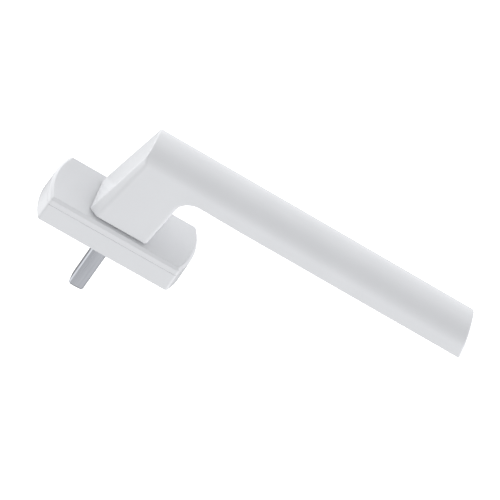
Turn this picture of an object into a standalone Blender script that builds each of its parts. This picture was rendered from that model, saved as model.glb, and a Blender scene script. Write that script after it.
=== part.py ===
"""Tilt-and-turn window handle in its closed position: the lever hangs down along the rosette.

Row frame, in metres: the origin is on the spindle's axis at the mounting face, +Y goes into the sash,
-Y comes out towards the room, and +Z is up. The shapes are drawn in millimetres in a working frame:
l runs down along the lever, w runs across the rosette, n comes out of the mounting face.
"""

import math

import bmesh
import bpy
import numpy as np
from mathutils import Matrix, Vector

for old in list(bpy.data.objects):
    bpy.data.objects.remove(old, do_unlink=True)

MM = 0.001
TO_ROW = Matrix(((0, MM, 0, 0), (0, 0, -MM, 0), (-MM, 0, 0, 0), (0, 0, 0, 1)))

# Rosette: 68.5 x 29 mm, straight sides and gently arched ends, a little smaller at the top.
ROSETTE_HALF_LENGTH = 34.25
ROSETTE_HALF_WIDTH = 14.58
ROSETTE_END_RISE = 3.5
ROSETTE_CORNER = 1.3
ROSETTE_DRAFT = 0.018
ROSETTE_END_DRAFT = 0.035
EDGE_BREAK = 0.25
BASE_HEIGHT = 10.1
COVER_FOOT = 10.4
COVER_WALL_TOP = 13.1
COVER_TOP = 14.3
COVER_CHAMFER = 1.05
COVER_WALL = 1.4
COVER_HOLE_RADIUS = 9.6
RIM_INSET = 1.8
BACK_RECESS = 1.8
DECK_FLOOR = 8.2
DECK_BOTTOM = 8.5
DECK_TOP = 10.0
BACKING_THICKNESS = 1.5

# Spindle and fixing.
SPINDLE_HALF = 3.5
SPINDLE_EDGE = 0.7
SPINDLE_OUT = 37.4
SPINDLE_POINT = 2.0
SPINDLE_IN = 28.0
LUG_PITCH = 43.0
LUG_RADIUS = 5.0
LUG_FLANGE_RADIUS = 6.2
LUG_LENGTH = 6.5
SCREW_HOLE_RADIUS = 2.7
PLATE_SCREW_L = 27.2
PLATE_SCREW_W = 8.5
PLATE_SCREW_RADIUS = 1.25
PLATE_SCREW_LENGTH = 6.3

# Handle casting.
FOOT = 15.2
FOOT_HALF_WIDTH = 12.1
LEVER_HALF_WIDTH = 11.5
LEVER_UNDERSIDE = 46.2
LEVER_SHOULDER = 51.4
CROWN_RISE = 7.25
CROWN_TOP = LEVER_SHOULDER + CROWN_RISE
LEVER_TIP = 147.0
TIP_LEAN = 0.24
ARMPIT_RADIUS = 7.9
ARMPIT_L = 22.5
ARMPIT_N = LEVER_UNDERSIDE - ARMPIT_RADIUS
NECK_RIGHT = 13.0
NECK_RIGHT_LEAN = 0.072
NECK_LEFT = -14.5
NECK_LEFT_LEAN = 0.170
NECK_LEFT_BULGE = 0.15
FRONT_CREASE = 9.6
BACK_CREASE = 9.3
BACK_CREASE_TURN = (1.36, 2.76)
CREASE_BLEND = 0.35
LEFT_ROUND = 0.6
FOOT_ROUND = 0.4
TIP_ROUND = 0.8
EDGE_AT_NECK = 1.5
EDGE_AT_LEVER = 0.7
FRONT_EDGE = -10.9
FRONT_EDGE_LEAN = 0.127
BACK_EDGE = -11.57
BACK_EDGE_LEAN = 0.137

# Bearing of the neck in the base.
JOURNAL_RADIUS = 7.0
JOURNAL_END = 0.1
JOURNAL_IN_CASTING = 17.5
SHOULDER_RADIUS = 8.5
SHOULDER = 12.5
GROOVE_RADIUS = 6.05
GROOVE_LOW = 0.6
GROOVE_HIGH = 1.7
BORE_HALF = 3.8
BORE_DEPTH = 28.4
CAM_BOTTOM = 3.6
CAM_TOP = 6.6
CAM_FLAT = 8.6
CAM_RADIUS = 9.9
PIN_LEVEL = 5.1
PIN_RADIUS = 1.0
PIN_REACH = 8.3
GAP = 0.3
ROUND = 48
LUG_ROUND = 32
SCREW_ROUND = 24


# ---------------------------------------------------------------- materials


def material(name, colour, metallic, roughness):
    made = bpy.data.materials.new(name)
    made.use_nodes = True
    shader = made.node_tree.nodes["Principled BSDF"]
    shader.inputs["Base Color"].default_value = (*colour, 1.0)
    shader.inputs["Metallic"].default_value = metallic
    shader.inputs["Roughness"].default_value = roughness
    return made


def white_paint(name):
    return material(name, (0.86, 0.87, 0.88), 0.0, 0.3)


def steel(name, roughness=0.35):
    return material(name, (0.62, 0.64, 0.66), 1.0, roughness)


def plastic(name, colour, roughness=0.45):
    return material(name, colour, 0.0, roughness)


cutter_look = material("cutter_look", (0.8, 0.2, 0.2), 0.0, 0.5)


# ---------------------------------------------------------------- modelling helpers


def finish(name, shaper, look, spot=(0.0, 0.0), smooth_below=40.0):
    """Turns a shape drawn in the working frame into a named object that stands at (l, w) = spot."""
    bmesh.ops.recalc_face_normals(shaper, faces=shaper.faces)
    if shaper.calc_volume(signed=True) < 0:
        bmesh.ops.reverse_faces(shaper, faces=shaper.faces)
    shaper.transform(TO_ROW)
    mesh = bpy.data.meshes.new(name)
    shaper.to_mesh(mesh)
    shaper.free()
    mesh.shade_smooth()
    mesh.set_sharp_from_angle(angle=math.radians(smooth_below))
    mesh.materials.append(look)
    obj = bpy.data.objects.new(name, mesh)
    obj.location = TO_ROW @ Vector((*spot, 0.0))
    bpy.context.scene.collection.objects.link(obj)
    return obj


def draw(shaper, points):
    return [shaper.verts.new(point) for point in points]


def bridge(shaper, low, high):
    """A band of four-sided faces between two loops of equally many vertices."""
    count = len(low)
    for i in range(count):
        j = (i + 1) % count
        shaper.faces.new((low[i], low[j], high[j], high[i]))


def loft(name, rings, look, spot=(0.0, 0.0)):
    """A closed solid through rings of equal length, one bridged to the next."""
    shaper = bmesh.new()
    loops = [draw(shaper, ring) for ring in rings]
    for low, high in zip(loops, loops[1:]):
        bridge(shaper, low, high)
    shaper.faces.new(loops[0])
    shaper.faces.new(loops[-1])
    return finish(name, shaper, look, spot)


def at_level(outline, n):
    """An (l, w) outline as a ring at height n."""
    return [(l, w, n) for l, w in outline]


def prism(name, outline, low, high, look, spot=(0.0, 0.0)):
    """An (l, w) outline extruded from one height to another."""
    shaper = bmesh.new()
    shaper.faces.new(draw(shaper, at_level(outline, low)))
    grown = bmesh.ops.extrude_face_region(shaper, geom=list(shaper.faces))
    moved = [item for item in grown["geom"] if isinstance(item, bmesh.types.BMVert)]
    bmesh.ops.translate(shaper, verts=moved, vec=(0.0, 0.0, high - low))
    return finish(name, shaper, look, spot)


def turned(name, profile, look, spot=(0.0, 0.0), start=0.0, sweep=360.0, steps=ROUND):
    """A closed profile of (radius, n) points spun about the n axis, all the way round or open like a C."""
    shaper = bmesh.new()
    start_face = shaper.faces.new(draw(shaper, [(radius, 0.0, n) for radius, n in profile]))
    whole = sweep >= 360.0
    if whole:
        bmesh.ops.delete(shaper, geom=[start_face], context="FACES_ONLY")
    first = Matrix.Rotation(math.radians(start), 3, "Z")
    bmesh.ops.rotate(shaper, verts=list(shaper.verts), cent=(0, 0, 0), matrix=first)
    bmesh.ops.spin(
        shaper,
        geom=list(shaper.verts) + list(shaper.edges) + list(shaper.faces),
        cent=(0, 0, 0),
        axis=(0, 0, 1),
        angle=math.radians(sweep),
        steps=steps,
        use_merge=whole,
    )
    return finish(name, shaper, look, spot)


def circle(radius, steps=ROUND):
    """A circle whose corners stay off the axes, so that cutters never share an edge."""
    angles = (np.arange(steps) + 0.37) * 2 * math.pi / steps
    return np.column_stack([radius * np.cos(angles), radius * np.sin(angles)])


def arc(centre, radius, angles):
    """Points at the angles, in radians, round the centre."""
    return [(centre[0] + radius * math.cos(a), centre[1] + radius * math.sin(a)) for a in angles]


def rosette(inset=0.0, level=0.0, arc_steps=6, corner_steps=4):
    """The rosette's outline at a level, moved in by inset: straight sides, arched ends, rounded corners."""
    rise = ROSETTE_END_RISE
    full_width = ROSETTE_HALF_WIDTH - ROSETTE_DRAFT * level
    radius = (full_width**2 + rise**2) / (2 * rise)
    middle = ROSETTE_HALF_LENGTH - ROSETTE_END_DRAFT * level - radius
    radius = radius - inset
    corner = max(ROSETTE_CORNER - inset, 0.5)
    corner_w = full_width - inset - corner
    corner_l = middle + math.sqrt((radius - corner) ** 2 - corner_w**2)
    reach = math.atan2(corner_w, corner_l - middle)
    quarter = arc((middle, 0.0), radius, np.linspace(0, reach, arc_steps + 1))
    quarter += arc((corner_l, corner_w), corner, np.linspace(reach, math.pi / 2, corner_steps + 1)[1:])
    half_loop = quarter + [(-l, w) for l, w in quarter[::-1]]
    return half_loop + [(l, -w) for l, w in half_loop[-2:0:-1]]


def rounded_box(half_l, half_w, corner, steps=3, centre_l=0.0):
    points = []
    for sign_l, sign_w, first in ((1, 1, 0), (-1, 1, 90), (-1, -1, 180), (1, -1, 270)):
        centre = (centre_l + sign_l * (half_l - corner), sign_w * (half_w - corner))
        points += arc(centre, corner, np.radians(np.linspace(first, first + 90, steps + 1)))
    return points


def chamfered_square(half, edge):
    points = []
    for turn in range(4):
        for l, w in ((half, half - edge), (half - edge, half)):
            for _ in range(turn):
                l, w = -w, l
            points.append((l, w))
    return points


def combine(obj, other, operation):
    """A Boolean with a helper object, which is left out of the model. EXACT drops a face of the housing."""
    other.hide_render = True
    other.display_type = "WIRE"
    modifier = obj.modifiers.new(operation.lower() + " " + other.name, "BOOLEAN")
    modifier.operation = operation
    modifier.solver = "MANIFOLD" if obj.name == "base_housing" else "EXACT"
    modifier.object = other


def cut(obj, cutter):
    combine(obj, cutter, "DIFFERENCE")


def bore(obj, name, radius, low, high, spot=(0.0, 0.0), steps=ROUND):
    cut(obj, prism("cutter_" + name, circle(radius, steps), low, high, cutter_look, spot))


def cross_pin(name, radius, reach, look, steps=16):
    """A round bar along l through the journal at the pin's level, with broken ends."""
    rings = []
    for l, r in ((-reach, radius * 0.8), (GAP - reach, radius), (reach - GAP, radius), (reach, radius * 0.8)):
        angles = np.arange(steps) * 2 * math.pi / steps
        rings.append([(l, w, n) for w, n in arc((0.0, PIN_LEVEL), r, angles)])
    return loft(name, rings, look)


# ---------------------------------------------------------------- handle casting


def fillet(a, b, radius):
    """The larger of two signed distances, with the corner between them rounded."""
    round_part = np.sqrt(np.maximum(a + radius, 0) ** 2 + np.maximum(b + radius, 0) ** 2) - radius
    return np.where((a > -radius) & (b > -radius), round_part, np.maximum(a, b))


def blunt(a, b, reach):
    """The larger of two signed distances, blended where they differ by less than reach."""
    near = np.maximum(reach - np.abs(a - b), 0)
    return np.maximum(a, b) + near**2 / (4 * reach)


def neck_right(n):
    return NECK_RIGHT + NECK_RIGHT_LEAN * (n - FOOT)


def crease(w, n):
    """How far from the middle the neck's left face ends; at the back it nears the middle higher up."""
    climb = (n - FOOT) / (CROWN_TOP - FOOT)
    back = BACK_CREASE - BACK_CREASE_TURN[0] * climb - BACK_CREASE_TURN[1] * climb**2
    return np.where(w < 0, FRONT_CREASE, back)


def neck_left(w, n):
    return NECK_LEFT + NECK_LEFT_LEAN * (n - FOOT) + NECK_LEFT_BULGE * (w / crease(w, n)) ** 2


def flat_half_width(n):
    """Half the distance between the flat front and back faces, which part a little towards the foot."""
    spread = np.clip((LEVER_UNDERSIDE - n) / (LEVER_UNDERSIDE - FOOT), 0, 1)
    return LEVER_HALF_WIDTH + (FOOT_HALF_WIDTH - LEVER_HALF_WIDTH) * spread


def facet_distance(l, w, n):
    """The flat facet that leads from the crease to the front or back face."""
    start_w = crease(w, n)
    start_l = NECK_LEFT + NECK_LEFT_LEAN * (n - FOOT) + NECK_LEFT_BULGE
    front_edge = FRONT_EDGE + FRONT_EDGE_LEAN * (n - FOOT)
    back_edge = BACK_EDGE + BACK_EDGE_LEAN * (n - FOOT)
    along_w = flat_half_width(n) - start_w
    along_l = np.where(w < 0, front_edge, back_edge) - start_l
    out = along_l * (np.abs(w) - start_w) - along_w * (l - start_l)
    return out / np.hypot(along_w, along_l)


def crown_distance(w, n):
    """Flat front and back faces, closed over the top by half an ellipse."""
    up = np.maximum(n - LEVER_SHOULDER, 0)
    size = np.sqrt((w / LEVER_HALF_WIDTH) ** 2 + (up / CROWN_RISE) ** 2)
    steep = np.sqrt((w / LEVER_HALF_WIDTH**2) ** 2 + (up / CROWN_RISE**2) ** 2)
    dome = (size - 1) * size / np.maximum(steep, 1e-3)
    return np.where(n > LEVER_SHOULDER, dome, np.abs(w) - flat_half_width(n))


def inner_distance(l, n):
    """The neck's right face, the curve under the lever, and the lever's underside."""
    neck = l - neck_right(np.minimum(n, ARMPIT_N))
    under = LEVER_UNDERSIDE - n
    curve = ARMPIT_RADIUS - np.hypot(l - ARMPIT_L, n - ARMPIT_N)
    return np.where(n < ARMPIT_N, neck, np.where(l > ARMPIT_L, under, curve))


def casting_distance(l, w, n):
    """The signed distance to the neck and lever, negative inside."""
    crown = crown_distance(w, n)
    left_side = blunt(neck_left(w, n) - l, facet_distance(l, w, n), CREASE_BLEND)
    left_side = fillet(crown, left_side, LEFT_ROUND)
    tip = l - (LEVER_TIP - TIP_LEAN * (n - LEVER_UNDERSIDE))
    along = np.clip((l - 12.0) / 30.0, 0, 1)
    lower_edge = EDGE_AT_NECK + (EDGE_AT_LEVER - EDGE_AT_NECK) * along
    right_side = fillet(crown, fillet(inner_distance(l, n), tip, TIP_ROUND), lower_edge)
    return fillet(np.maximum(left_side, right_side), FOOT - n, FOOT_ROUND)


def outward(origins, rays):
    """The first surface point along each ray that starts inside the casting."""
    low = np.zeros(len(rays))
    high = np.full(len(rays), 40.0)
    rays = rays / np.linalg.norm(rays, axis=1)[:, None]
    for _ in range(40):
        middle = (low + high) / 2
        outside = casting_distance(*(origins + rays * middle[:, None]).T) > 0
        high = np.where(outside, middle, high)
        low = np.where(outside, low, middle)
    return origins + rays * low[:, None]


def spread_angles(count):
    """Directions round a section, closer together at its four corners."""
    turn = np.arange(count) * 2 * math.pi / count
    across = np.sign(np.sin(turn)) * np.abs(np.sin(turn)) ** 0.6
    out = np.sign(np.cos(turn)) * np.abs(np.cos(turn)) ** 0.6
    return out, across


def section(centre, out_axis, half_out, count):
    """One ring of surface points in the plane of out_axis and w through centre."""
    out, across = spread_angles(count)
    rays = out[:, None] * half_out * np.asarray(out_axis) + across[:, None] * np.array([0, LEVER_HALF_WIDTH, 0])
    return outward(np.tile(centre, (count, 1)), rays)


def casting_rings(count):
    """Level rings up the neck, a fan of rings round the elbow, upright rings down the lever, then the tip."""
    rings = []
    for n in (FOOT, FOOT + 0.12, FOOT + 0.4, 20.5, 26.0, 32.0, 37.0):
        middle = (neck_left(0.0, n) + neck_right(n)) / 2
        rings.append(section((middle, 0, n + 1e-4), (-1, 0, 0), 13.5, count))
    armpit = np.array([ARMPIT_L, 0, ARMPIT_N])
    for angle in np.radians((0, 8, 15, 21, 26, 29, 31, 33, 35, 38, 43, 50, 60, 70, 80, 90)):
        out = np.array([-math.cos(angle), 0, math.sin(angle)])
        rim = outward((armpit + out * (ARMPIT_RADIUS + 1))[None], out[None])[0]
        half = (np.linalg.norm(rim - armpit) - ARMPIT_RADIUS) / 2
        rings.append(section(armpit + out * (ARMPIT_RADIUS + half), out, half, count))
    heart = (LEVER_UNDERSIDE + CROWN_TOP) / 2
    half_height = (CROWN_TOP - LEVER_UNDERSIDE) / 2
    for l in (42.0, 70.0, 105.0, 136.0):
        rings.append(section((l, 0, heart), (0, 0, 1), half_height, count))
    out, across = spread_angles(count)
    flat = out[:, None] * np.array([0, 0, half_height]) + across[:, None] * np.array([0, LEVER_HALF_WIDTH, 0])
    for lift in np.radians((18, 32, 40, 45, 50, 58, 70)):
        rays = flat * math.cos(lift) ** 0.6 + np.array([9.5, 0, 0]) * math.sin(lift) ** 0.6
        rings.append(outward(np.tile((136.0, 0, heart), (count, 1)), rays))
    return rings


handle = loft("handle_casting", casting_rings(40), white_paint("lever_white_paint"))
journal_profile = (
    (JOURNAL_RADIUS - 0.3, JOURNAL_END),
    (JOURNAL_RADIUS, JOURNAL_END + 0.3),
    (JOURNAL_RADIUS, GROOVE_LOW),
    (GROOVE_RADIUS, GROOVE_LOW),
    (GROOVE_RADIUS, GROOVE_HIGH),
    (JOURNAL_RADIUS, GROOVE_HIGH),
    (JOURNAL_RADIUS, SHOULDER),
    (SHOULDER_RADIUS, SHOULDER),
    (SHOULDER_RADIUS, JOURNAL_IN_CASTING),
)
journal = loft("adder_journal", [at_level(circle(radius), n) for radius, n in journal_profile], cutter_look)
combine(handle, journal, "UNION")
cut(handle, prism("cutter_spindle_bore", chamfered_square(BORE_HALF, 0.4), -1.0, BORE_DEPTH, cutter_look))
cut(handle, cross_pin("cutter_pin_journal", PIN_RADIUS + GAP, 12.0, cutter_look))

spindle = loft(
    "square_spindle",
    [
        at_level(chamfered_square(SPINDLE_HALF - SPINDLE_POINT, 0.2), -SPINDLE_OUT),
        at_level(chamfered_square(SPINDLE_HALF, SPINDLE_EDGE), SPINDLE_POINT - SPINDLE_OUT),
        at_level(chamfered_square(SPINDLE_HALF, SPINDLE_EDGE), SPINDLE_IN - 0.5),
        at_level(chamfered_square(SPINDLE_HALF - 0.5, 0.2), SPINDLE_IN),
    ],
    steel("spindle_zinc"),
)
cut(spindle, cross_pin("cutter_pin_spindle", PIN_RADIUS + GAP, 12.5, cutter_look))
pin = cross_pin("spindle_roll_pin", PIN_RADIUS, PIN_REACH, steel("pin_steel", 0.3))


# ---------------------------------------------------------------- bearing and detent stack


def plain_ring(name, inner, outer, low, high, look, edge=0.15):
    profile = (
        (inner, low),
        (outer - edge, low),
        (outer, low + edge),
        (outer, high - edge),
        (outer - edge, high),
        (inner, high),
    )
    return turned(name, profile, look)


RING_INNER = JOURNAL_RADIUS + GAP
RING_OUTER = 8.6

thrust_washer = plain_ring(
    "thrust_washer", RING_INNER, RING_OUTER, 11.4, 12.2, plastic("washer_acetal", (0.78, 0.78, 0.74))
)
flat_washer = plain_ring("flat_washer", RING_INNER, RING_OUTER, 1.85, 2.45, steel("flat_washer_steel", 0.3))

bush = turned(
    "journal_bush",
    ((7.1, 7.2), (8.2, 7.2), (8.2, 10.3), (8.7, 10.3), (8.7, 11.1), (7.1, 11.1)),
    plastic("bush_acetal", (0.82, 0.82, 0.78)),
)


def cam_outline():
    """A square with a flat on each side and arcs of one circle for its corners."""
    limit = math.acos(CAM_FLAT / CAM_RADIUS)
    points = []
    for side in range(4):
        middle = side * math.pi / 2
        points += arc((0, 0), CAM_RADIUS, (middle - limit, middle + limit))
        points += arc((0, 0), CAM_RADIUS, np.linspace(middle + limit, middle + math.pi / 2 - limit, 7)[1:-1])
    return points


cam = prism("detent_cam", cam_outline(), CAM_BOTTOM, CAM_TOP, steel("cam_steel", 0.4))
bore(cam, "cam_hole", RING_INNER, CAM_BOTTOM - 0.6, CAM_TOP + 0.6)
cut(cam, cross_pin("cutter_pin_cam", PIN_RADIUS + GAP, 11.5, cutter_look))


def wave_ring(name, low_n, wave, waves, thickness, look):
    """A thin washer whose level rises and falls as it goes round."""
    shaper = bmesh.new()
    edges = ((RING_INNER, -1), (RING_OUTER, -1), (RING_OUTER, 1), (RING_INNER, 1))
    loops = []
    for radius, side in edges:
        ring = []
        for turn in np.arange(ROUND) * 2 * math.pi / ROUND:
            level = low_n + wave * math.sin(waves * turn) + side * thickness / 2
            ring.append((radius * math.cos(turn), radius * math.sin(turn), level))
        loops.append(draw(shaper, ring))
    for one, other in zip(loops, loops[1:] + loops[:1]):
        bridge(shaper, one, other)
    return finish(name, shaper, look)


wave_washer = wave_ring("wave_washer", 3.0, 0.13, 3, 0.32, steel("spring_steel_washer", 0.28))

retaining_ring = turned(
    "retaining_ring",
    ((6.35, 0.75), (8.0, 0.75), (8.0, 1.55), (6.35, 1.55)),
    steel("ring_black_steel", 0.4),
    start=110.0,
    sweep=320.0,
    steps=36,
)


def leaf_spring(name, side):
    """A bowed strip whose middle lies on a flat of the cam and whose hooked ends stand in the housing."""
    thickness = 0.44
    stations = np.linspace(-11.2, 11.2, 9)
    middle_w = CAM_FLAT + GAP + thickness / 2
    path = [(l, middle_w + 0.0085 * l * l) for l in stations]
    for end in (-1, 1):
        hook = [(end * 12.1, 10.55), (end * 12.6, 11.05)]
        path = path + hook if end > 0 else hook[::-1] + path
    path = np.array(path)
    along = np.gradient(path, axis=0)
    along = along / np.linalg.norm(along, axis=1)[:, None]
    across = np.column_stack([-along[:, 1], along[:, 0]]) * thickness / 2
    outline = np.concatenate([path - across, (path + across)[::-1]])
    outline[:, 1] *= side
    return prism(name, outline, CAM_BOTTOM + 0.2, CAM_TOP - 0.2, steel("steel_" + name, 0.25))


springs = [leaf_spring("detent_spring_right", 1), leaf_spring("detent_spring_left", -1)]


# ---------------------------------------------------------------- base

housing = loft(
    "base_housing",
    [
        at_level(rosette(EDGE_BREAK, 0.0), 0.0),
        at_level(rosette(0.0, EDGE_BREAK), EDGE_BREAK),
        at_level(rosette(0.0, BASE_HEIGHT - EDGE_BREAK), BASE_HEIGHT - EDGE_BREAK),
        at_level(rosette(EDGE_BREAK, BASE_HEIGHT), BASE_HEIGHT),
    ],
    white_paint("housing_white_paint"),
)
cut(housing, prism("cutter_back_recess", rosette(RIM_INSET), -0.5, BACK_RECESS, cutter_look))
cut(housing, prism("cutter_cam_pocket", rounded_box(13.2, 11.6, 1.5), BACK_RECESS - 0.1, 6.9, cutter_look))
cut(housing, prism("cutter_deck_recess", rosette(RIM_INSET, BASE_HEIGHT), DECK_FLOOR, 10.8, cutter_look))
bore(housing, "housing_hole", SHOULDER_RADIUS, 6.5, 8.6)

deck = prism("deck_plate", rosette(RIM_INSET + GAP, BASE_HEIGHT), DECK_BOTTOM, DECK_TOP, steel("deck_zinc"))
bore(deck, "deck_hole", SHOULDER_RADIUS, 8.0, 10.5)

plate = prism("backing_plate", rosette(RIM_INSET + GAP), 0.0, BACKING_THICKNESS, steel("backing_zinc"))
bore(plate, "plate_hole", 9.3, -0.5, 2.0)

fixed_parts = [housing, deck, plate, bush] + springs
for lug_name, lug_l in (("top", -LUG_PITCH / 2), ("bottom", LUG_PITCH / 2)):
    spot = (lug_l, 0.0)
    bore(housing, "housing_lug_" + lug_name, LUG_RADIUS + GAP, 1.5, 8.6, spot, LUG_ROUND)
    bore(housing, "housing_flange_" + lug_name, LUG_FLANGE_RADIUS + GAP, 1.6, 3.1, spot, LUG_ROUND)
    bore(plate, "plate_lug_" + lug_name, LUG_RADIUS + GAP, -0.5, 2.0, spot, LUG_ROUND)
    sink = ((SCREW_HOLE_RADIUS, 8.0), (SCREW_HOLE_RADIUS, 8.8), (SCREW_HOLE_RADIUS + 2.0, 10.8))
    rings = [at_level(circle(radius, LUG_ROUND), n) for radius, n in sink]
    cut(deck, loft("cutter_countersink_" + lug_name, rings, cutter_look, spot))
    sleeve = turned(
        "lug_sleeve_" + lug_name,
        (
            (SCREW_HOLE_RADIUS, -LUG_LENGTH),
            (LUG_RADIUS - 0.5, -LUG_LENGTH),
            (LUG_RADIUS, 0.5 - LUG_LENGTH),
            (LUG_RADIUS, 1.8),
            (LUG_FLANGE_RADIUS, 1.8),
            (LUG_FLANGE_RADIUS, 2.8),
            (LUG_RADIUS, 2.8),
            (LUG_RADIUS, 8.0),
            (SCREW_HOLE_RADIUS, 8.0),
        ),
        steel("lug_zinc_" + lug_name, 0.45),
        spot,
        steps=LUG_ROUND,
    )
    fixed_parts.append(sleeve)


def plate_screw(number, spot):
    """A slotted countersunk screw that holds the backing plate to the housing, with its holes."""
    bore(housing, f"pilot_{number}", PLATE_SCREW_RADIUS + GAP, 1.5, PLATE_SCREW_LENGTH + GAP, spot, 16)
    sink = ((3.3, -0.4), (1.6, 1.3), (1.6, 2.0))
    rings = [at_level(circle(radius, SCREW_ROUND), n) for radius, n in sink]
    cut(plate, loft(f"cutter_sink_{number}", rings, cutter_look, spot))
    shape = ((2.45, 0.05), (PLATE_SCREW_RADIUS, 1.25), (PLATE_SCREW_RADIUS, 5.7), (0.5, PLATE_SCREW_LENGTH))
    rings = [at_level(circle(radius, SCREW_ROUND), n) for radius, n in shape]
    screw = loft(f"plate_screw_{number}", rings, steel(f"screw_steel_{number}", 0.3), spot)
    cut(screw, prism(f"cutter_slot_{number}", rounded_box(3.0, 0.3, 0.05, 1), -0.4, 0.6, cutter_look, spot))
    return screw


corners = [(l, w) for l in (-PLATE_SCREW_L, PLATE_SCREW_L) for w in (-PLATE_SCREW_W, PLATE_SCREW_W)]
fixed_parts += [plate_screw(number, spot) for number, spot in enumerate(corners, start=1)]


# ---------------------------------------------------------------- cover

cover = loft(
    "cover_cap",
    [
        at_level(rosette(0.2, COVER_FOOT), COVER_FOOT),
        at_level(rosette(0.0, COVER_FOOT), COVER_FOOT + 0.2),
        at_level(rosette(0.0, COVER_WALL_TOP), COVER_WALL_TOP),
        at_level(rosette(0.15, COVER_WALL_TOP), COVER_WALL_TOP + 0.1),
        at_level(rosette(COVER_CHAMFER, COVER_WALL_TOP), COVER_TOP - 0.12),
        at_level(rosette(COVER_CHAMFER + 0.2, COVER_WALL_TOP), COVER_TOP),
    ],
    white_paint("cover_white_paint"),
)
cut(cover, prism("cutter_cover_hollow", rosette(COVER_WALL, COVER_WALL_TOP), 9.0, COVER_WALL_TOP, cutter_look))
bore(cover, "cover_hole", COVER_HOLE_RADIUS, 12.0, 15.0)

carrier = prism(
    "cover_carrier",
    rosette(COVER_WALL + GAP, COVER_WALL_TOP),
    COVER_FOOT + 0.2,
    COVER_WALL_TOP - GAP,
    plastic("carrier_nylon", (0.80, 0.80, 0.80), 0.5),
)
bore(carrier, "carrier_hole", 9.0, 10.0, 13.2)
bore(carrier, "carrier_groove", 10.6, 11.15, 12.35)
for window_name, window_l in (("top", -21.0), ("bottom", 21.0)):
    window = rounded_box(6.5, 9.5, 1.5, 3, window_l)
    cut(carrier, prism("cutter_window_" + window_name, window, 10.0, 13.2, cutter_look))

snap_ring = turned(
    "cover_snap_ring",
    arc((9.85, 11.75), 0.42, np.arange(8) * math.pi / 4),
    steel("snap_ring_steel", 0.25),
    start=20.0,
    sweep=320.0,
    steps=36,
)


# ---------------------------------------------------------------- what moves with what


def mount_on(pivot_name, parts):
    """Parents the parts to an empty on the spindle's axis, which is the axis of both joints."""
    pivot = bpy.data.objects.new(pivot_name, None)
    bpy.context.scene.collection.objects.link(pivot)
    for part in parts:
        part.parent = pivot


mount_on("pivot_base", fixed_parts)
mount_on(
    "pivot_handle", [handle, spindle, pin, thrust_washer, flat_washer, cam, wave_washer, retaining_ring]
)
mount_on("pivot_cover", [cover, carrier, snap_ring])
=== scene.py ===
import math

import bmesh
import bpy
import numpy as np
from mathutils import Matrix, Vector


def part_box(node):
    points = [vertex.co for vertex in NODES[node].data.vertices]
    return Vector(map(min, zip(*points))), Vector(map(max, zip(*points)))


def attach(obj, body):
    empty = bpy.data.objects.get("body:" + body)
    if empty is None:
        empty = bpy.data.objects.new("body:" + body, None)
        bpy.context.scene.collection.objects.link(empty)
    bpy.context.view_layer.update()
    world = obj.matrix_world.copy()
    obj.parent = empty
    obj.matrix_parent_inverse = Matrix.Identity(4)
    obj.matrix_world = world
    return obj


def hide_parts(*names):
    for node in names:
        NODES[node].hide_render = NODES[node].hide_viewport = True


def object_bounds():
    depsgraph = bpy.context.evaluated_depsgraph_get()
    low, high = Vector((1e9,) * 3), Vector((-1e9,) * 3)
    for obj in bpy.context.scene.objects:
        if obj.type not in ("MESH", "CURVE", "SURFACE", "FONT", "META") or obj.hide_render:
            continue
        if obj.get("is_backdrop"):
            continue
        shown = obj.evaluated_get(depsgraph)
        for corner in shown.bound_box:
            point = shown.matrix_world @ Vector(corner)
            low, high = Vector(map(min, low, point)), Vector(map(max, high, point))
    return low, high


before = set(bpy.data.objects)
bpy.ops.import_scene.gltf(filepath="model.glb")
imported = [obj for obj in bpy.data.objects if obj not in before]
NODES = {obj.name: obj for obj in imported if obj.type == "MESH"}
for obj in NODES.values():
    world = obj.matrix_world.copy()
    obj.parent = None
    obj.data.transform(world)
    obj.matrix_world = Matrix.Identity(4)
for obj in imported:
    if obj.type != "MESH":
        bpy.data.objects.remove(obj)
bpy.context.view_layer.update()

MM = 0.001
TO_ROW = Matrix(((0, MM, 0, 0), (0, 0, -MM, 0), (-MM, 0, 0, 0), (0, 0, 0, 1)))


def working_box(node):
    """A CAD node's lowest and highest (l, w, n) in millimetres.

    l runs down the lever, w across it and n out of the mounting face.
    """
    low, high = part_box(node)
    return (-high.z / MM, low.x / MM, -high.y / MM), (-low.z / MM, high.x / MM, -low.y / MM)


_, BASE_HIGH = working_box("base_housing")
COVER_LOW, COVER_HIGH = working_box("cover_cap")
SPINDLE_LOW, SPINDLE_HIGH = working_box("square_spindle")
LUG_LOW, LUG_HIGH = working_box("lug_sleeve_bottom")

# ---------------------------------------------------------------- materials


def node_material(name):
    """A new Principled material, with its node tree and its shader."""
    made = bpy.data.materials.new(name)
    made.use_nodes = True
    return made, made.node_tree, made.node_tree.nodes["Principled BSDF"]


def noise(tree, scale, detail=2.0, roughness=0.5, stretch=(1, 1, 1)):
    """Noise in the object's own coordinates, so it stays with the piece."""
    coords = tree.nodes.new("ShaderNodeTexCoord")
    mapping = tree.nodes.new("ShaderNodeMapping")
    mapping.inputs["Scale"].default_value = stretch
    tree.links.new(coords.outputs["Object"], mapping.inputs["Vector"])
    made = tree.nodes.new("ShaderNodeTexNoise")
    made.inputs["Scale"].default_value = scale
    made.inputs["Detail"].default_value = detail
    made.inputs["Roughness"].default_value = roughness
    tree.links.new(mapping.outputs["Vector"], made.inputs["Vector"])
    return made.outputs["Fac"]


RAMP_ENDS = (0.3, 0.7)


def ramp(tree, source, low, high):
    """A colour that runs from low to high as source does between the ramp's ends."""
    made = tree.nodes.new("ShaderNodeValToRGB")
    for element, place, colour in zip(made.color_ramp.elements, RAMP_ENDS, (low, high)):
        element.position = place
        element.color = colour if len(colour) == 4 else (*colour, 1)
    tree.links.new(source, made.inputs["Fac"])
    return made.outputs["Color"]


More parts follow.
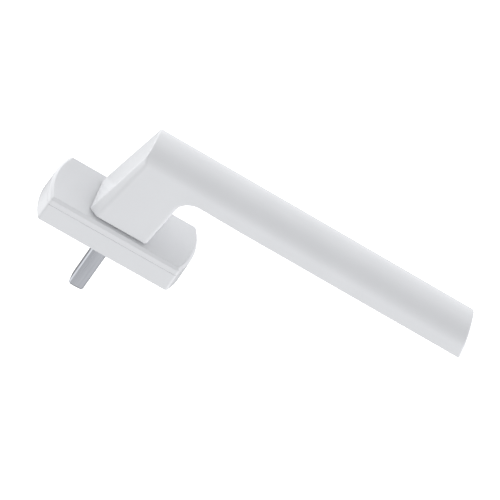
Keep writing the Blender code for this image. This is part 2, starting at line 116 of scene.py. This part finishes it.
def bump(tree, shader, height, distance, strength=1.0, after=None):
    """Bumps of a height in metres on the shader, on top of the bumps given as after."""
    made = tree.nodes.new("ShaderNodeBump")
    made.inputs["Strength"].default_value = strength
    made.inputs["Distance"].default_value = distance
    tree.links.new(height, made.inputs["Height"])
    if after is not None:
        tree.links.new(after, made.inputs["Normal"])
    tree.links.new(made.outputs["Normal"], shader.inputs["Normal"])
    return made.outputs["Normal"]


def grey(value):
    """A grey as red, green, blue and alpha."""
    return (value, value, value, 1)


PAINT_LOW = (0.715, 0.722, 0.738)
PAINT_HIGH = (0.730, 0.737, 0.753)


def white_paint(name):
    """Powder coat: faint cloudiness, a fine orange peel and a satin gloss."""
    made, tree, shader = node_material(name)
    tree.links.new(ramp(tree, noise(tree, 60, 3), PAINT_LOW, PAINT_HIGH), shader.inputs["Base Color"])
    tree.links.new(ramp(tree, noise(tree, 700, 2), grey(0.22), grey(0.27)), shader.inputs["Roughness"])
    shader.inputs["IOR"].default_value = 1.5
    peel = bump(tree, shader, noise(tree, 420, 1), 0.000004, 0.25)
    bump(tree, shader, noise(tree, 2400, 1), 0.0000008, 0.25, peel)
    return made


def metal(name, dark, light, rough=(0.25, 0.4), grain=(1, 1, 1), scale=700, depth=0.000004):
    """Bare or plated metal, its grain drawn out along the axis where grain is small."""
    made, tree, shader = node_material(name)
    tree.links.new(ramp(tree, noise(tree, scale, 4, 0.6, grain), dark, light), shader.inputs["Base Color"])
    shader.inputs["Metallic"].default_value = 1.0
    cloud = ramp(tree, noise(tree, scale * 0.4, 3, 0.6, grain), grey(rough[0]), grey(rough[1]))
    tree.links.new(cloud, shader.inputs["Roughness"])
    bump(tree, shader, noise(tree, scale * 1.6, 3, 0.6, grain), depth, 0.4)
    return made


def plastic(name, dark, light):
    """Moulded plastic with faint clouds and a fine texture."""
    made, tree, shader = node_material(name)
    tree.links.new(ramp(tree, noise(tree, 90, 3), dark, light), shader.inputs["Base Color"])
    cloud = ramp(tree, noise(tree, 1500, 2), grey(0.38), grey(0.5))
    tree.links.new(cloud, shader.inputs["Roughness"])
    bump(tree, shader, noise(tree, 2600, 2), 0.000006, 0.3)
    return made


def wear(obj, made):
    """Give an object one material."""
    obj.data.materials.clear()
    obj.data.materials.append(made)


# ---------------------------------------------------------------- mesh makers


SHARP_DEGREES = 50.0


def piece(name, rings, made, body, nodes, closed=False, spot=(0.0, 0.0)):
    """Rings of equally many working-frame points, bridged one to the next, as a smooth piece on a body.

    A closed piece joins its last ring to its first; any other has a face over each end.
    """
    shaper = bmesh.new()
    loops = [[shaper.verts.new((l + spot[0], w + spot[1], n)) for l, w, n in ring] for ring in rings]
    for low, high in zip(loops, loops[1:] + (loops[:1] if closed else [])):
        for i, corner in enumerate(low):
            j = (i + 1) % len(low)
            shaper.faces.new((corner, low[j], high[j], high[i]))
    if not closed:
        shaper.faces.new(loops[0])
        shaper.faces.new(loops[-1])
    bmesh.ops.recalc_face_normals(shaper, faces=shaper.faces)
    if shaper.calc_volume(signed=True) < 0:
        bmesh.ops.reverse_faces(shaper, faces=shaper.faces)
    shaper.transform(TO_ROW)
    mesh = bpy.data.meshes.new(name)
    shaper.to_mesh(mesh)
    shaper.free()
    mesh.shade_smooth()
    mesh.set_sharp_from_angle(angle=math.radians(SHARP_DEGREES))
    obj = bpy.data.objects.new(name, mesh)
    bpy.context.scene.collection.objects.link(obj)
    wear(obj, made)
    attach(obj, body)
    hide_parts(*nodes)
    return obj


def at_level(outline, n):
    """An (l, w) outline as a ring at a level."""
    return [(l, w, n) for l, w in outline]


def arc(centre, radius, angles):
    """Points of a circle at the given angles."""
    return [(centre[0] + radius * math.cos(a), centre[1] + radius * math.sin(a)) for a in angles]


EDGE_STEPS = 5


def edge_round(outer, level, radius, turn_in):
    """(inset, n) pairs of a small rounded edge between a wall and a flat.

    It runs from the wall at the level to the flat beyond it; turn_in is 1 upwards and -1 downwards.
    """
    found = []
    for angle in np.linspace(0, math.pi / 2, EDGE_STEPS):
        inset = outer + radius * (1 - math.cos(angle))
        found.append((inset, level + turn_in * radius * math.sin(angle)))
    return found


# ---------------------------------------------------------------- handle casting
# All sizes are millimetres and all leans are millimetres per millimetre, as in the CAD.

FOOT = 15.2
FOOT_HALF_WIDTH = 12.1
LEVER_HALF_WIDTH = 11.5
LEVER_UNDERSIDE = 46.2
LEVER_SHOULDER = 51.4
CROWN_RISE = 7.25
CROWN_TOP = LEVER_SHOULDER + CROWN_RISE
LEVER_TIP = 147.0
TIP_LEAN = 0.24
ARMPIT_RADIUS = 7.9
ARMPIT_L = 22.5
ARMPIT_N = LEVER_UNDERSIDE - ARMPIT_RADIUS
NECK_RIGHT = 13.0
NECK_RIGHT_LEAN = 0.072
NECK_LEFT = -14.5
NECK_LEFT_LEAN = 0.170
NECK_LEFT_BULGE = 0.15
FRONT_CREASE = 9.6
BACK_CREASE = 9.3
BACK_CREASE_TURN = (1.36, 2.76)
CREASE_BLEND = 0.35
LEFT_ROUND = 0.6
FOOT_ROUND = 0.4
TIP_ROUND = 0.8
EDGE_AT_NECK = 1.5
EDGE_AT_LEVER = 0.7
EDGE_TURN_START = 12.0
EDGE_TURN_LENGTH = 30.0
FRONT_EDGE = -10.9
FRONT_EDGE_LEAN = 0.127
BACK_EDGE = -11.57
BACK_EDGE_LEAN = 0.137

# How the rings lie on the casting. They only have to be close where the surface bends.
RING_POINTS = 144
FARTHEST = 40.0
HALVINGS = 40
CORNER_CROWDING = 0.6
NECK_HALF_LENGTH = 13.5
NECK_RINGS = 36
LEVER_RINGS_START = 24.0
LEVER_RINGS_END = 136.0
LEVER_RINGS = 40
TIP_REACH = 9.5
TIP_RINGS = 40


def fillet(a, b, radius):
    """The larger of two signed distances, with the corner between them rounded."""
    round_part = np.sqrt(np.maximum(a + radius, 0) ** 2 + np.maximum(b + radius, 0) ** 2) - radius
    return np.where((a > -radius) & (b > -radius), round_part, np.maximum(a, b))


def blunt(a, b, reach):
    """The larger of two signed distances, blended where they differ by less than reach."""
    near = np.maximum(reach - np.abs(a - b), 0)
    return np.maximum(a, b) + near**2 / (4 * reach)


def neck_right(n):
    """Where the neck's right face is at a level."""
    return NECK_RIGHT + NECK_RIGHT_LEAN * (n - FOOT)


def crease(w, n):
    """How far from the middle the neck's left face ends; at the back it nears the middle higher up."""
    climb = (n - FOOT) / (CROWN_TOP - FOOT)
    back = BACK_CREASE - BACK_CREASE_TURN[0] * climb - BACK_CREASE_TURN[1] * climb**2
    return np.where(w < 0, FRONT_CREASE, back)


def neck_left(w, n):
    """Where the neck's left face is at a level; it bulges a little."""
    return NECK_LEFT + NECK_LEFT_LEAN * (n - FOOT) + NECK_LEFT_BULGE * (w / crease(w, n)) ** 2


def flat_half_width(n):
    """Half the distance between the flat front and back faces, which part a little towards the foot."""
    spread = np.clip((LEVER_UNDERSIDE - n) / (LEVER_UNDERSIDE - FOOT), 0, 1)
    return LEVER_HALF_WIDTH + (FOOT_HALF_WIDTH - LEVER_HALF_WIDTH) * spread


def facet_distance(l, w, n):
    """The flat facet that leads from the crease to the front or back face."""
    start_w = crease(w, n)
    start_l = NECK_LEFT + NECK_LEFT_LEAN * (n - FOOT) + NECK_LEFT_BULGE
    front_edge = FRONT_EDGE + FRONT_EDGE_LEAN * (n - FOOT)
    back_edge = BACK_EDGE + BACK_EDGE_LEAN * (n - FOOT)
    along_w = flat_half_width(n) - start_w
    along_l = np.where(w < 0, front_edge, back_edge) - start_l
    out = along_l * (np.abs(w) - start_w) - along_w * (l - start_l)
    return out / np.hypot(along_w, along_l)


def crown_distance(w, n):
    """Flat front and back faces, closed over the top by half an ellipse."""
    up = np.maximum(n - LEVER_SHOULDER, 0)
    size = np.sqrt((w / LEVER_HALF_WIDTH) ** 2 + (up / CROWN_RISE) ** 2)
    steep = np.sqrt((w / LEVER_HALF_WIDTH**2) ** 2 + (up / CROWN_RISE**2) ** 2)
    dome = (size - 1) * size / np.maximum(steep, 1e-3)
    return np.where(n > LEVER_SHOULDER, dome, np.abs(w) - flat_half_width(n))


def inner_distance(l, n):
    """The neck's right face, the curve under the lever, and the lever's underside."""
    neck = l - neck_right(np.minimum(n, ARMPIT_N))
    under = LEVER_UNDERSIDE - n
    curve = ARMPIT_RADIUS - np.hypot(l - ARMPIT_L, n - ARMPIT_N)
    return np.where(n < ARMPIT_N, neck, np.where(l > ARMPIT_L, under, curve))


def casting_distance(l, w, n):
    """The signed distance to the neck and lever, negative inside."""
    crown = crown_distance(w, n)
    left_side = blunt(neck_left(w, n) - l, facet_distance(l, w, n), CREASE_BLEND)
    left_side = fillet(crown, left_side, LEFT_ROUND)
    tip = l - (LEVER_TIP - TIP_LEAN * (n - LEVER_UNDERSIDE))
    along = np.clip((l - EDGE_TURN_START) / EDGE_TURN_LENGTH, 0, 1)
    lower_edge = EDGE_AT_NECK + (EDGE_AT_LEVER - EDGE_AT_NECK) * along
    right_side = fillet(crown, fillet(inner_distance(l, n), tip, TIP_ROUND), lower_edge)
    return fillet(np.maximum(left_side, right_side), FOOT - n, FOOT_ROUND)


def outward(origins, rays):
    """The first surface point along each ray that starts inside the casting."""
    low = np.zeros(len(rays))
    high = np.full(len(rays), FARTHEST)
    rays = rays / np.linalg.norm(rays, axis=1)[:, None]
    for _ in range(HALVINGS):
        middle = (low + high) / 2
        outside = casting_distance(*(origins + rays * middle[:, None]).T) > 0
        high = np.where(outside, middle, high)
        low = np.where(outside, low, middle)
    return origins + rays * low[:, None]


def spread_angles(count):
    """Directions round a section, closer together at its four corners."""
    turn = np.arange(count) * 2 * math.pi / count
    across = np.sign(np.sin(turn)) * np.abs(np.sin(turn)) ** CORNER_CROWDING
    out = np.sign(np.cos(turn)) * np.abs(np.cos(turn)) ** CORNER_CROWDING
    return out, across


def section(centre, out_axis, half_out, count):
    """One ring of surface points in the plane of out_axis and w through centre."""
    out, across = spread_angles(count)
    rays = out[:, None] * half_out * np.asarray(out_axis)
    rays = rays + across[:, None] * np.array([0, LEVER_HALF_WIDTH, 0])
    return outward(np.tile(centre, (count, 1)), rays)


def casting_rings(count):
    """The casting from foot to tip.

    Level rings go up the neck, a fan of rings goes round the elbow, upright rings go down the lever,
    and the last ones close in over the tip.
    """
    rings = []
    levels = [FOOT + FOOT_ROUND * (1 - math.cos(a)) for a in np.linspace(0, math.pi / 2, 6)]
    levels += list(np.linspace(FOOT + 1.3, ARMPIT_N - 0.6, NECK_RINGS))
    for n in levels:
        middle = (neck_left(0.0, n) + neck_right(n)) / 2
        rings.append(section((middle, 0, n + 1e-4), (-1, 0, 0), NECK_HALF_LENGTH, count))
    armpit = np.array([ARMPIT_L, 0, ARMPIT_N])
    # The fan is closest together where it passes over the top edge of the neck's left face.
    angles = np.concatenate([np.linspace(0, 16, 14), np.linspace(16.4, 38, 60), np.linspace(39, 90, 30)])
    for angle in np.radians(angles):
        out = np.array([-math.cos(angle), 0, math.sin(angle)])
        rim = outward((armpit + out * (ARMPIT_RADIUS + 1))[None], out[None])[0]
        half = (np.linalg.norm(rim - armpit) - ARMPIT_RADIUS) / 2
        rings.append(section(armpit + out * (ARMPIT_RADIUS + half), out, half, count))
    heart = (LEVER_UNDERSIDE + CROWN_TOP) / 2
    half_height = (CROWN_TOP - LEVER_UNDERSIDE) / 2
    for l in np.linspace(LEVER_RINGS_START, LEVER_RINGS_END, LEVER_RINGS):
        rings.append(section((l, 0, heart), (0, 0, 1), half_height, count))
    out, across = spread_angles(count)
    flat = out[:, None] * np.array([0, 0, half_height])
    flat = flat + across[:, None] * np.array([0, LEVER_HALF_WIDTH, 0])
    ahead = np.array([TIP_REACH, 0, 0])
    for lift in np.radians(np.linspace(6, 88, TIP_RINGS)):
        rays = flat * math.cos(lift) ** CORNER_CROWDING + ahead * math.sin(lift) ** CORNER_CROWDING
        rings.append(outward(np.tile((LEVER_RINGS_END, 0, heart), (count, 1)), rays))
    return rings


piece(
    "lever_and_neck",
    casting_rings(RING_POINTS),
    white_paint("lever_white"),
    "handle",
    ["handle_casting"],
)

# ---------------------------------------------------------------- rosette

HALF_LENGTH = 34.25
HALF_WIDTH = 14.58
END_RISE = 3.5
CORNER = 1.3
DRAFT = 0.018
END_DRAFT = 0.035
RIM_INSET = 1.8
BACK_RECESS = 1.8
DECK_FLOOR = 8.2
POCKET_TOP = 6.9
POCKET_HALF = (13.2, 11.6)
JOURNAL_HOLE = 8.5
COVER_WALL = 1.4
COVER_HOLE = 9.6
CHAMFER = 1.05
FINE_EDGE = 0.1
BASE_FOOT_ROUND = 0.4
CHAMFER_FOOT = 13.1

# How far the base reaches up and the cover down into the CAD's gap, which makes a finer parting line.
BASE_REACH = 0.09
COVER_REACH = 0.11

# Rounded edges as (inset, rise) from the chamfer's foot and from its top, then the edge of the cover's
# hole as (distance outside the hole, rise from the cover's top).
CHAMFER_START = ((0.0, -0.25), (0.0, -0.15), (0.02, -0.06), (0.07, 0.03), (0.14, 0.11), (0.2, 0.17))
CHAMFER_END = ((-0.12, -0.2), (-0.05, -0.13), (0.03, -0.06), (0.13, -0.015), (0.25, 0.0), (0.35, 0.0))
HOLE_EDGE = ((0.4, 0.0), (0.3, 0.0), (0.1, -0.06), (0.0, -0.25))


def rosette(inset=0.0, level=0.0):
    """The rosette's outline at a level, moved in by inset: straight sides, arched ends, rounded corners."""
    full_width = HALF_WIDTH - DRAFT * level
    radius = (full_width**2 + END_RISE**2) / (2 * END_RISE)
    middle = HALF_LENGTH - END_DRAFT * level - radius
    radius = radius - inset
    corner = max(CORNER - inset, 0.5)
    corner_w = full_width - inset - corner
    corner_l = middle + math.sqrt((radius - corner) ** 2 - corner_w**2)
    reach = math.atan2(corner_w, corner_l - middle)
    quarter = arc((middle, 0.0), radius, np.linspace(0, reach, 24)[:-1])
    quarter += arc((corner_l, corner_w), corner, np.linspace(reach, math.pi / 2, 13))
    side = np.linspace(corner_l, 0.0, 40)[1:]
    quarter += [(l, full_width - inset) for l in side]
    half_loop = quarter + [(-l, w) for l, w in quarter[-2::-1]]
    return half_loop + [(l, -w) for l, w in half_loop[-2:0:-1]]


DIRECTIONS = [(l / math.hypot(l, w), w / math.hypot(l, w)) for l, w in rosette()]


def hole(radius):
    """A circle with one point for each of the rosette's."""
    return [(l * radius, w * radius) for l, w in DIRECTIONS]


def pocket(half_l, half_w):
    """A rectangle with one point for each of the rosette's."""
    found = []
    for l, w in DIRECTIONS:
        reach = min(half_l / max(abs(l), 1e-6), half_w / max(abs(w), 1e-6))
        found.append((l * reach, w * reach))
    return found


def rosette_rings(profile):
    """Rings at (inset, n) pairs, each with the draft of its own level."""
    return [at_level(rosette(inset, n), n) for inset, n in profile]


base_top = BASE_HIGH[2] + BASE_REACH
base_profile = [(RIM_INSET, BACK_RECESS), (RIM_INSET, FINE_EDGE)]
base_profile += [(RIM_INSET - FINE_EDGE, 0.0), (0.45, 0.0)]
base_profile += edge_round(0.0, BASE_FOOT_ROUND, BASE_FOOT_ROUND, -1)[::-1]
base_profile += [(0.0, 0.5), (0.0, base_top - 0.2)]
base_profile += edge_round(0.0, base_top - FINE_EDGE, FINE_EDGE, 1)
base_profile += [(0.15, base_top), (RIM_INSET - FINE_EDGE, base_top)]
base_profile += [(RIM_INSET, base_top - FINE_EDGE), (RIM_INSET, DECK_FLOOR)]
base_rings = rosette_rings(base_profile)
base_rings += [at_level(hole(JOURNAL_HOLE), n) for n in (DECK_FLOOR, POCKET_TOP)]
base_rings += [at_level(pocket(*POCKET_HALF), n) for n in (POCKET_TOP, BACK_RECESS)]
piece(
    "rosette_base",
    base_rings,
    white_paint("base_white"),
    "base",
    ["base_housing"],
    closed=True,
)

cover_foot = COVER_LOW[2] - COVER_REACH
cover_top = COVER_HIGH[2]
cover_profile = [(COVER_WALL, cover_foot), (0.15, cover_foot)]
cover_profile += edge_round(0.0, cover_foot + FINE_EDGE, FINE_EDGE, -1)[::-1]
cover_profile += [(0.0, cover_foot + 0.2)]
cover_profile += [(inset, CHAMFER_FOOT + rise) for inset, rise in CHAMFER_START]
cover_profile += [(CHAMFER + inset, cover_top + rise) for inset, rise in CHAMFER_END]
cover_rings = rosette_rings(cover_profile)
cover_rings += [at_level(hole(COVER_HOLE + extra), cover_top + rise) for extra, rise in HOLE_EDGE]
cover_rings += [at_level(hole(COVER_HOLE), CHAMFER_FOOT)]
cover_rings += rosette_rings([(COVER_WALL, CHAMFER_FOOT)])
piece(
    "rosette_cover",
    cover_rings,
    white_paint("cover_white"),
    "cover",
    ["cover_cap"],
    closed=True,
)

# ---------------------------------------------------------------- turned and square metal pieces

ZINC_DARK = (0.50, 0.515, 0.55)
ZINC_LIGHT = (0.60, 0.615, 0.65)
STEEL_DARK = (0.40, 0.41, 0.43)
STEEL_LIGHT = (0.53, 0.54, 0.56)
CAST_DARK = (0.42, 0.43, 0.44)
CAST_LIGHT = (0.52, 0.53, 0.54)


CIRCLE_POINTS = 96


def circle(radius):
    """A circle as (l, w) points."""
    return arc((0.0, 0.0), radius, np.arange(CIRCLE_POINTS) * 2 * math.pi / CIRCLE_POINTS)


def turned(name, profile, made, body, nodes, spot=(0.0, 0.0)):
    """A closed (radius, n) profile turned all the way round."""
    rings = [at_level(circle(radius), n) for radius, n in profile]
    return piece(name, rings, made, body, nodes, closed=True, spot=spot)


def rounded_square(half, edge, soft):
    """A square with flat 45-degree edges, whose own corners are slightly rounded."""
    corners = []
    for turn in range(4):
        for l, w in ((half, half - edge), (half - edge, half)):
            for _ in range(turn):
                l, w = -w, l
            corners.append(np.array((l, w)))
    points = []
    for i, corner in enumerate(corners):
        before = corners[i - 1] - corner
        after = corners[(i + 1) % len(corners)] - corner
        start = corner + before / np.linalg.norm(before) * soft
        end = corner + after / np.linalg.norm(after) * soft
        for t in (0.0, 0.25, 0.5, 0.75, 1.0):
            points.append(tuple((1 - t) ** 2 * start + 2 * t * (1 - t) * corner + t**2 * end))
    return points


# The bar as (half width, 45-degree edge, rounding, n) from its chamfered end to its inner end.
spindle_out = SPINDLE_LOW[2]
spindle_in = SPINDLE_HIGH[2]
half = SPINDLE_HIGH[1]
spindle_profile = [
    (half - 1.9, 0.3, 0.08, spindle_out),
    (half - 1.75, 0.4, 0.1, spindle_out + 0.08),
    (half - 0.25, 0.66, 0.1, spindle_out + 1.75),
    (half - 0.06, 0.7, 0.1, spindle_out + 2.05),
    (half, 0.7, 0.1, spindle_out + 2.4),
    (half, 0.7, 0.1, spindle_out + 2.7),
    (half, 0.7, 0.1, spindle_in - 0.8),
    (half, 0.7, 0.1, spindle_in - 0.5),
    (half - 0.5, 0.2, 0.08, spindle_in),
]
piece(
    "spindle_bar",
    [at_level(rounded_square(size, edge, soft), n) for size, edge, soft, n in spindle_profile],
    metal("spindle_zinc", ZINC_DARK, ZINC_LIGHT, (0.22, 0.34), (1, 0.04, 1), 900),
    "handle",
    ["square_spindle"],
)

# The turned part of the casting that sits in the rosette, as (radius, n), with its groove and bore.
journal_profile = (
    (6.7, 0.1), (6.8, 0.12), (6.95, 0.28), (7.0, 0.4), (7.0, 0.6), (6.05, 0.6), (6.05, 1.7),
    (7.0, 1.7), (7.0, 12.5), (8.5, 12.5), (8.5, 17.0), (5.6, 17.0), (5.6, 0.3), (5.8, 0.1),
)
turned(
    "neck_journal",
    journal_profile,
    metal("journal_aluminium", CAST_DARK, CAST_LIGHT, (0.25, 0.38), (1, 0.3, 1), 800),
    "handle",
    ["handle_casting"],
)

lug_end, lug_top = LUG_LOW[2], LUG_HIGH[2]
lug_metal = metal("lug_zinc", CAST_DARK, CAST_LIGHT, (0.38, 0.5), scale=500, depth=0.00001)
LUG_BORE = 2.7
LUG_RADIUS = 5.0
LUG_EDGE = 0.65
LUG_FLAT = LUG_RADIUS - LUG_EDGE
LUG_FLANGE = 6.2
LUG_FLANGE_TOP = 2.8
lug_profile = [(LUG_BORE, lug_end + 0.3), (2.95, lug_end + 0.04), (3.05, lug_end), (LUG_FLAT, lug_end)]
for angle in np.linspace(0.2, math.pi / 2, 6):
    rise = LUG_EDGE * (1 - math.cos(angle))
    lug_profile.append((LUG_FLAT + LUG_EDGE * math.sin(angle), lug_end + rise))
lug_profile += [(LUG_RADIUS, BACK_RECESS), (LUG_FLANGE, BACK_RECESS)]
lug_profile += [(LUG_FLANGE, LUG_FLANGE_TOP), (LUG_RADIUS, LUG_FLANGE_TOP)]
lug_profile += [(LUG_RADIUS, lug_top), (LUG_BORE, lug_top)]
for end in ("top", "bottom"):
    low, high = working_box("lug_sleeve_" + end)
    middle = (low[0] + high[0]) / 2
    turned("lug_" + end, lug_profile, lug_metal, "base", ["lug_sleeve_" + end], (middle, 0.0))

# ---------------------------------------------------------------- materials of the CAD nodes that stay

zinc_plate = metal("zinc_plate", ZINC_DARK, ZINC_LIGHT, (0.3, 0.42), (1, 1, 0.3), 500)
spring_steel = metal("spring_steel", STEEL_DARK, STEEL_LIGHT, (0.2, 0.32))
screw_steel = metal("screw_zinc", ZINC_DARK, ZINC_LIGHT, (0.22, 0.36), scale=900)
black_steel = metal("phosphated_steel", (0.055, 0.055, 0.06), (0.09, 0.09, 0.095), (0.4, 0.55))
acetal = plastic("acetal", (0.66, 0.655, 0.60), (0.71, 0.705, 0.65))
nylon = plastic("nylon", (0.62, 0.62, 0.62), (0.67, 0.67, 0.67))
LOOKS = {
    "deck_plate": zinc_plate,
    "backing_plate": zinc_plate,
    "journal_bush": acetal,
    "thrust_washer": acetal,
    "cover_carrier": nylon,
    "flat_washer": zinc_plate,
    "retaining_ring": black_steel,
}
for node in NODES:
    if node.startswith("plate_screw"):
        wear(NODES[node], screw_steel)
    else:
        wear(NODES[node], LOOKS.get(node, spring_steel))

# ---------------------------------------------------------------- stage, light and camera

CAMERA_PLACE = (-0.60535, -0.58210, 0.08614)
CAMERA_DEGREES = (71.3056, 58.855, -63.814)

scene = bpy.context.scene
camera_data = bpy.data.cameras.new("camera")
camera_data.lens = 144.0
camera_data.sensor_width = 36.0
camera = bpy.data.objects.new("camera", camera_data)
camera.location = CAMERA_PLACE
camera.rotation_euler = [math.radians(a) for a in CAMERA_DEGREES]
scene.collection.objects.link(camera)
scene.camera = camera


def white_stage(obj, made):
    """Stage dressing that the camera sees and that neither lights nor shades the object."""
    scene.collection.objects.link(obj)
    wear(obj, made)
    obj.visible_diffuse = False
    obj.visible_glossy = False
    obj.visible_shadow = False
    obj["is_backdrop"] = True


def glowing(name, albedo, strength):
    """A white surface that also shines by itself, so that it looks the same everywhere."""
    made, tree, shader = node_material(name)
    cloud = ramp(tree, noise(tree, 3, 3), grey(albedo), grey(albedo + 0.03))
    tree.links.new(cloud, shader.inputs["Base Color"])
    matt = ramp(tree, noise(tree, 9, 3), grey(0.65), grey(0.8))
    tree.links.new(matt, shader.inputs["Roughness"])
    shader.inputs["Emission Color"].default_value = grey(1.0)
    shader.inputs["Emission Strength"].default_value = strength
    made.cycles.emission_sampling = "NONE"
    return made


def floor(level, half):
    """A flat square floor."""
    mesh = bpy.data.meshes.new("floor")
    corners = [(-half, -half, level), (half, -half, level), (half, half, level), (-half, half, level)]
    mesh.from_pydata(corners, [], [(0, 1, 2, 3)])
    white_stage(bpy.data.objects.new("floor", mesh), glowing("pale_floor", 0.90, 0.4))


def backdrop(radius):
    """A white ball all round the object and the camera."""
    shaper = bmesh.new()
    bmesh.ops.create_icosphere(shaper, subdivisions=3, radius=radius)
    mesh = bpy.data.meshes.new("backdrop")
    shaper.to_mesh(mesh)
    shaper.free()
    white_stage(bpy.data.objects.new("backdrop", mesh), glowing("white_backdrop", 0.90, 1.0))


floor(-0.45, 4.0)
backdrop(6.0)


def studio_world(even, boxes):
    """White surroundings made of soft boxes round an even light.

    Each box is a direction and a strength. It begins where the cosine of the angle to its middle is
    BOX_START, and has its full strength where that cosine is BOX_FULL.
    """
    world = bpy.data.worlds.new("soft_white")
    world.use_nodes = True
    tree = world.node_tree
    coords = tree.nodes.new("ShaderNodeTexCoord")
    total = None
    for direction, strength in boxes:
        dot = tree.nodes.new("ShaderNodeVectorMath")
        dot.operation = "DOT_PRODUCT"
        dot.inputs[1].default_value = Vector(direction).normalized()
        tree.links.new(coords.outputs["Generated"], dot.inputs[0])
        spread = tree.nodes.new("ShaderNodeMapRange")
        spread.interpolation_type = "SMOOTHSTEP"
        spread.inputs["From Min"].default_value = BOX_START
        spread.inputs["From Max"].default_value = BOX_FULL
        spread.inputs["To Max"].default_value = strength
        tree.links.new(dot.outputs["Value"], spread.inputs["Value"])
        add = tree.nodes.new("ShaderNodeMath")
        add.inputs[0].default_value = even
        if total is not None:
            tree.links.new(total, add.inputs[0])
        tree.links.new(spread.outputs["Result"], add.inputs[1])
        total = add.outputs["Value"]
    background = tree.nodes["Background"]
    background.inputs["Color"].default_value = LIGHT_COLOUR
    tree.links.new(total, background.inputs["Strength"])
    scene.world = world


LIGHT_COLOUR = (0.985, 0.99, 1.0, 1)
EVEN = 0.19
BOX_START = 0.4
BOX_FULL = 0.95
BOXES = (
    ((0.0, 0.0, 1.0), 0.62),
    ((0.1, 0.3, 0.95), 0.61),
    ((0.6, -0.3, 0.75), 0.69),
    ((-0.17, 0.66, 0.73), 0.19),
    ((0.92, -0.38, 0.05), 0.90),
    ((0.73, -0.66, -0.17), 0.16),
    ((-0.8, 0.4, -0.45), 0.45),
    ((-0.75, -0.1, -0.65), 0.90),
    ((0.0, -0.1, -1.0), 0.82),
)
studio_world(EVEN, BOXES)
scene.view_settings.view_transform = "Standard"

low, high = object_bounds()
